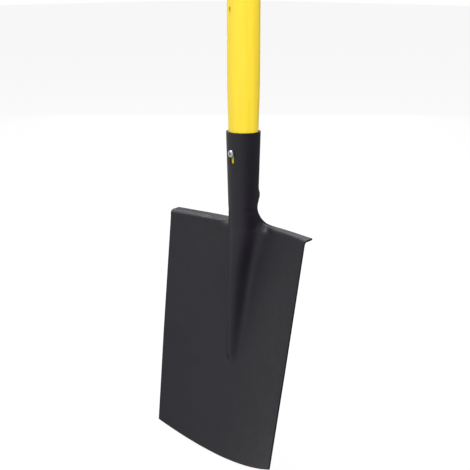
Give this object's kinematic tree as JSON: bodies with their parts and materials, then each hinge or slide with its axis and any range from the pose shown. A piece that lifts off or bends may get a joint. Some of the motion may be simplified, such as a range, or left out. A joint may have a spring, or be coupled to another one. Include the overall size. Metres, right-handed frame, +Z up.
{
  "type": "digging spade",
  "caption": "Digging spade: dished black steel blade with turned-back treads, rolled socket, yellow sheathed shaft and a bolted D-grip.",
  "frame": {"origin": "middle of the footprint on the ground, with the spade standing upright on its cutting edge", "axes": "+Z up the shaft, -Y to the front (the hollow face of the blade), +X across the blade"},
  "size_m": [0.207, 0.081, 1.12],
  "materials": {
    "black_coated_steel": "satin powder coat",
    "zinc_steel": "bright zinc plate",
    "yellow_sheath": "smooth semi-gloss",
    "glass_fibre": "pultruded glass fibre",
    "hardwood": "plain turned",
    "black_moulding": "fine spark-eroded texture",
    "soft_black": "matt soft touch"
  },
  "bodies": {
    "root": {"spade_head": "black_coated_steel", "socket_screw": "zinc_steel", "shaft_sheath": "yellow_sheath", "shaft_core": "glass_fibre", "lower_core_plug": "hardwood", "upper_core_plug": "hardwood", "grip_collar": "soft_black", "grip_yoke": "black_moulding", "yoke_cross_bolt": "zinc_steel", "yoke_cross_nut": "zinc_steel", "yoke_washers": "zinc_steel", "grip_bar_tube": "zinc_steel", "grip_bar_sleeve": "black_moulding", "grip_soft_pad": "soft_black", "grip_bar_bolt": "zinc_steel", "grip_bar_nut": "zinc_steel", "grip_bar_washers": "zinc_steel", "grip_end_cap_left": "black_moulding", "grip_end_cap_right": "black_moulding"}
  },
  "joints": []
}
